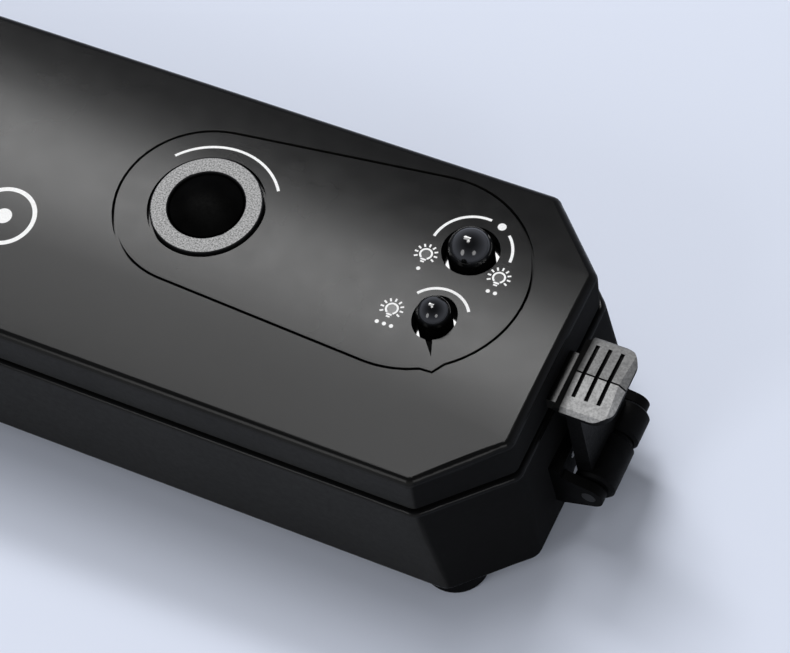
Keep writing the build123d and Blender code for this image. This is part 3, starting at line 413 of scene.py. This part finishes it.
# Circuit board: mask over lines of copper
board_green, tree, shader, place = start_material("board_green")
brick = grain(tree, place, 420.0, kind="ShaderNodeTexBrick")
brick.inputs["Color1"].default_value = (0, 0, 0, 1)
brick.inputs["Color2"].default_value = (1, 1, 1, 1)
brick.inputs["Mortar Size"].default_value = 0.04
tracks = brick.outputs["Color"]
tint(tree, tracks, (0.010, 0.075, 0.026), (0.022, 0.125, 0.045), shader.inputs["Base Color"])
spread(tree, grain(tree, place, 300.0).outputs["Fac"], 0.25, 0.36, shader.inputs["Roughness"])
rough_skin(tree, shader, tracks, 0.03)

# Cellular rubber foam of the gaskets
foam_black, tree, shader, place = start_material("foam_black")
cells = grain(tree, place, 2100.0, kind="ShaderNodeTexVoronoi").outputs["Distance"]
tint(tree, cells, grey(0.012), grey(0.045), shader.inputs["Base Color"], low=0.1, high=0.6)
spread(tree, grain(tree, place, 500.0).outputs["Fac"], 0.75, 0.92, shader.inputs["Roughness"])
rough_skin(tree, shader, cells, 0.12, 0.8)
shader.inputs["Specular IOR Level"].default_value = 0.2

# Finish of every CAD node, except for the valve's spring, which a coil stands in for
finishes = {
    shell_black: ["lid_shell", "base_shell"],
    panel_black: ["control_panel"],
    matte_black: ["right_latch_bracket", "left_latch_bracket", "cord_grommet", "bottom_cover"],
    gloss_black: ["vacuum_seal_button", "seal_button"],
    valve_black: ["valve_button"],
    silver_speckle: ["valve_ring"],
    lens_black: ["indicator_lenses"],
    latch_painted_reflection: ["right_latch", "left_latch"],
    rubber_black: ["rubber_feet", "valve_seal", "pump_diaphragm"],
    deck_grey: ["work_deck"],
    liner_grey: ["lid_liner"],
    red_silicone: ["pressure_strip"],
    clear_hose: ["vacuum_hose"],
    phenolic: ["heater_holder"],
    dark_part: [
        "tact_switches", "lid_switch", "lid_switch_plunger", "board_components", "pump_head",
        "pump_cap", "trough_port", "vacuum_seal_plunger", "seal_plunger",
    ],
    coil_yellow: ["transformer"],
    lamp_white: ["indicator_lamps"],
    lead_red: ["motor_leads", "heater_leads"],
    steel: [
        "cover_screws", "bracket_screws", "liner_screws", "pump_screws", "hinge_pins",
        "motor_rotor",
    ],
    black_steel: [
        "right_latch_pin", "left_latch_pin", "right_latch_spring", "left_latch_spring",
    ],
    zinc: ["motor_can"],
    nichrome: ["heating_strip"],
    brass: ["heater_terminals"],
    tape_brown: ["heater_tape"],
    board_green: ["power_board", "button_board"],
    foam_black: ["lower_gasket", "upper_gasket"],
}
for finish, names in finishes.items():
    for name in names:
        slots = nodes[name].data.materials
        slots.clear()
        slots.append(finish)


def add_piece(name, made, finish, body):
    mesh = bpy.data.meshes.new(name)
    made.to_mesh(mesh)
    made.free()
    for face in mesh.polygons:
        face.use_smooth = True
    mesh.materials.append(finish)
    piece = bpy.data.objects.new(name, mesh)
    scene.collection.objects.link(piece)
    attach(piece, body)
    return piece


# Printed marks on the crowned top
def on_top(x, y):
    height = lid_top - crown_radius + math.sqrt(crown_radius**2 - y**2) + print_lift
    return Vector((x * MM, y * MM, height * MM))


def around(centre, radius, turn):
    # Point on a circle, angle in degrees
    angle = math.radians(turn)
    return centre[0] + radius * math.cos(angle), centre[1] + radius * math.sin(angle)


def band(made, centre, radius, width, first, last):
    # Strip along an arc in steps of up to 4 degrees, angles in degrees
    steps = max(2, math.ceil(abs(last - first) / 4))
    rows = []
    for step in range(steps + 1):
        turn = first + (last - first) * step / steps
        reaches = (radius - width / 2, radius + width / 2)
        rows.append([made.verts.new(on_top(*around(centre, reach, turn))) for reach in reaches])
    for near, far in zip(rows, rows[1:]):
        made.faces.new((near[0], near[1], far[1], far[0]))


def patch(made, outline):
    made.faces.new([made.verts.new(on_top(x, y)) for x, y in outline])


def dot(made, centre, radius):
    patch(made, [around(centre, radius, turn) for turn in range(0, 360, 15)])


def bar(made, start, end, width):
    along = Vector((end[0] - start[0], end[1] - start[1])).normalized()
    side = Vector((-along.y, along.x)) * width / 2
    corners = []
    for point, sign in ((start, -1), (start, 1), (end, 1), (end, -1)):
        corners.append((point[0] + side.x * sign, point[1] + side.y * sign))
    patch(made, corners)


def add_print(name, made):
    bmesh.ops.recalc_face_normals(made, faces=made.faces)
    for face in made.faces:
        if face.normal.z < 0:
            face.normal_flip()
    add_piece(name, made, print_white, "lid")


# Places and sizes of the marks, in millimetres
press_centre, press_radius, press_line, press_dot = (68.7, -8.9), 5.46, 0.8, 1.5
valve_centre, valve_radius = (100.7, 5.6), 12.5
vacuum_centre, vacuum_radius, vacuum_dot = (146.4, 13.9), 7.0, 0.75
seal_centre, seal_radius = (146.3, -0.36), 5.7
arc_line = 0.5

made = bmesh.new()
band(made, press_centre, press_radius, press_line, 0, 360)
dot(made, press_centre, press_dot)
add_print("press_mark", made)

made = bmesh.new()
band(made, valve_centre, valve_radius, arc_line, 36, 143)
add_print("valve_mark", made)

made = bmesh.new()
band(made, vacuum_centre, vacuum_radius, arc_line, 84, 176)
dot(made, around(vacuum_centre, vacuum_radius, 66), vacuum_dot)
band(made, vacuum_centre, vacuum_radius, arc_line, 2, 48)
add_print("vacuum_mark", made)

made = bmesh.new()
band(made, seal_centre, seal_radius, arc_line, 32, 145)
add_print("seal_mark", made)

# Light symbols: a bulb with two bars for its cap and rays round it, told apart by dots below.
# Each bar has a half length, a drop below the bulb's centre and a line width
bulb_places = [(139.7, 10.55), (153.0, 10.7), (139.0, -1.4)]
bulb_radius, bulb_line = 1.0, 0.34
cap_bars = [(0.5, 1.15, 0.34), (0.34, 1.6, 0.3)]
ray_start, ray_end, ray_line = 1.42, 2.05, 0.32
count_step, count_drop, count_dot = 1.3, 3.1, 0.36
for count, (x, y) in enumerate(bulb_places, start=1):
    made = bmesh.new()
    band(made, (x, y), bulb_radius, bulb_line, -60, 240)
    for half, drop, line in cap_bars:
        bar(made, (x - half, y - drop), (x + half, y - drop), line)
    for turn in range(-30, 240, 30):
        inner = around((x, y), ray_start, turn)
        outer = around((x, y), ray_end, turn)
        bar(made, inner, outer, ray_line)
    for step in range(count):
        dot(made, (x + (step - (count - 1) / 2) * count_step, y - count_drop), count_dot)
    add_print(f"lamp_mark_{count}", made)

# Foam gaskets: half of the section as shares of the width and height, and lengths in millimetres
foam_half = [(-0.47, 0.02), (-0.49, 0.25), (-0.48, 0.6), (-0.42, 0.84), (-0.26, 0.97), (0, 1.0)]
foam_width = 4.0
foam_corner = 5.0
corner_steps = 8
foam_step = 3.0
foam_wave = 0.05
waves_per_metre = 160


# A crowned bead round the trough, a little uneven as cut foam is
def foam_loop(name, node, body, width, corner, upward):
    low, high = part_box(node)
    half_x = (high.x - low.x) / 2 - width * MM / 2
    half_y = (high.y - low.y) / 2 - width * MM / 2
    middle = (low + high) / 2
    radius = corner * MM
    path = []
    for turn, (sx, sy) in enumerate(((1, 1), (-1, 1), (-1, -1), (1, -1))):
        for step in range(corner_steps + 1):
            angle = math.radians(90 * turn + 90 * step / corner_steps)
            heading = Vector((math.cos(angle), math.sin(angle), 0))
            centre_x = middle.x + sx * (half_x - radius)
            centre_y = middle.y + sy * (half_y - radius)
            path.append((Vector((centre_x, centre_y, 0)) + heading * radius, heading))
    points = []
    for (here, out), (there, out_next) in zip(path, path[1:] + path[:1]):
        pieces = max(1, round((there - here).length / (foam_step * MM)))
        for step in range(pieces):
            share = step / pieces
            points.append((here.lerp(there, share), out.lerp(out_next, share).normalized()))
    height = high.z - low.z
    section = foam_half + [(-x, z) for x, z in reversed(foam_half[:-1])]
    made = bmesh.new()
    rings = []
    for point, out in points:
        wave = noise.noise(point * waves_per_metre) * foam_wave * MM
        ring = []
        for across, rise in section:
            lift = rise if upward else 1 - rise
            spot = point + out * (across * width * MM + wave)
            ring.append(made.verts.new((spot.x, spot.y, low.z + lift * height)))
        rings.append(ring)
    for ring, after in zip(rings, rings[1:] + rings[:1]):
        for step in range(len(section)):
            follow = (step + 1) % len(section)
            made.faces.new((ring[step], after[step], after[follow], ring[follow]))
    bmesh.ops.recalc_face_normals(made, faces=made.faces)
    foam = add_piece(name, made, foam_black, body)
    smooth = foam.modifiers.new("smooth", "SUBSURF")
    smooth.levels = 1
    smooth.render_levels = 1
    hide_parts(node)


foam_loop("lower_foam", "lower_gasket", "base", foam_width, foam_corner, True)
foam_loop("upper_foam", "upper_gasket", "lid", foam_width, foam_corner, False)

# Return spring of the valve: the wire's radius in millimetres, and the part of a turn that lies
# flat at each end
coil_wire = 0.35
coil_turns = 3.6
coil_steps = 40
coil_sides = 10
closed_turns = 0.3


# A coil with closed ends
def coil_spring(name, node, body, wire, turns):
    low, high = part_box(node)
    middle = (low + high) / 2
    radius = (high.x - low.x) / 2 - wire * MM
    room = high.z - low.z - 2 * wire * MM
    made = bmesh.new()
    rings = []
    for step in range(int(turns * coil_steps) + 1):
        turn = step / coil_steps
        rise = min(max((turn - closed_turns) / (turns - 2 * closed_turns), 0), 1)
        heading = Vector((math.cos(math.tau * turn), math.sin(math.tau * turn), 0))
        level = low.z + wire * MM + rise * room
        centre = Vector((middle.x, middle.y, level)) + heading * radius
        ring = []
        for side in range(coil_sides):
            angle = math.tau * side / coil_sides
            out = heading * math.cos(angle) + Vector((0, 0, math.sin(angle)))
            ring.append(made.verts.new(centre + out * wire * MM))
        rings.append(ring)
    for ring, after in zip(rings, rings[1:]):
        for side in range(coil_sides):
            follow = (side + 1) % coil_sides
            made.faces.new((ring[side], ring[follow], after[follow], after[side]))
    made.faces.new(rings[0])
    made.faces.new(rings[-1])
    bmesh.ops.recalc_face_normals(made, faces=made.faces)
    coil = add_piece(name, made, steel, body)
    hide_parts(node)
    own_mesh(coil)


coil_spring("valve_coil", "valve_spring", "lid", coil_wire, coil_turns)

# Floor, half its width in metres
floor_half = 6
made = bmesh.new()
bmesh.ops.create_grid(made, x_segments=8, y_segments=8, size=floor_half)
floor_mesh = bpy.data.meshes.new("floor")
made.to_mesh(floor_mesh)
made.free()
floor = bpy.data.objects.new("floor", floor_mesh)
scene.collection.objects.link(floor)
floor_pale, tree, shader, place = start_material("floor_pale")
shade = grain(tree, place, 3.0).outputs["Fac"]
tint(tree, shade, (0.645, 0.688, 0.797), (0.658, 0.701, 0.812), shader.inputs["Base Color"])
shader.inputs["Roughness"].default_value = 0.9
shader.inputs["Specular IOR Level"].default_value = 0.0
floor_mesh.materials.append(floor_pale)

# Pale room light, and a pale backdrop for what is seen or mirrored, dimmer overhead
world = bpy.data.worlds.new("room")
scene.world = world
world.use_nodes = True
tree = world.node_tree
room = tree.nodes["Background"]
room.inputs["Color"].default_value = (0.95, 0.97, 1.0, 1)
room.inputs["Strength"].default_value = 0.27
backdrop = tree.nodes.new("ShaderNodeBackground")
backdrop.inputs["Color"].default_value = (0.67, 0.71, 0.83, 1)
heading = tree.nodes.new("ShaderNodeTexCoord").outputs["Generated"]
brightness = fade(tree, split_axes(tree, heading)[2], 0.25, 0.95, 1.0, 0.15)
tree.links.new(brightness, backdrop.inputs["Strength"])
light_path = tree.nodes.new("ShaderNodeLightPath").outputs
seen = calculate(tree, "MAXIMUM", light_path["Is Camera Ray"], light_path["Is Glossy Ray"])
seen = calculate(tree, "MAXIMUM", seen, light_path["Is Transmission Ray"])
mix = tree.nodes.new("ShaderNodeMixShader")
tree.links.new(seen, mix.inputs["Fac"])
tree.links.new(room.outputs["Background"], mix.inputs[1])
tree.links.new(backdrop.outputs["Background"], mix.inputs[2])
tree.links.new(mix.outputs["Shader"], tree.nodes["World Output"].inputs["Surface"])


# Lamps: each one's width lies along X, or turned from it towards the front by the slant
def add_light(name, shape, place, aim, width, depth, power, slant=0):
    light = bpy.data.lights.new(name, "AREA")
    light.shape = shape
    light.size = width
    light.size_y = depth
    light.energy = power
    lamp = bpy.data.objects.new(name, light)
    behind = (Vector(place) - Vector(aim)).normalized()
    along = Vector((1, -slant, 0))
    wide = (along - behind * behind.dot(along)).normalized()
    tall = behind.cross(wide)
    lamp.matrix_world = Matrix((
        (wide.x, tall.x, behind.x, place[0]),
        (wide.y, tall.y, behind.y, place[1]),
        (wide.z, tall.z, behind.z, place[2]),
        (0, 0, 0, 1),
    ))
    scene.collection.objects.link(lamp)


lamp_aim = (0.1, 0, 0.04)
add_light("key", "RECTANGLE", (-0.425, 0.685, 1.30), lamp_aim, 0.83, 0.19, 11.8, slant=0.20)
add_light("soft_key", "RECTANGLE", (-0.40, 0.43, 1.34), lamp_aim, 0.76, 0.24, 4.4, slant=0.22)
add_light("top", "ELLIPSE", (-0.13, 0.22, 1.50), lamp_aim, 0.35, 0.35, 3.6)
add_light("front_edge", "ELLIPSE", (-0.24, -0.90, 0.72), lamp_aim, 0.36, 0.60, 2.2)
add_light("corner_edge", "ELLIPSE", (0.82, -0.58, 0.78), lamp_aim, 0.34, 0.45, 1.5)
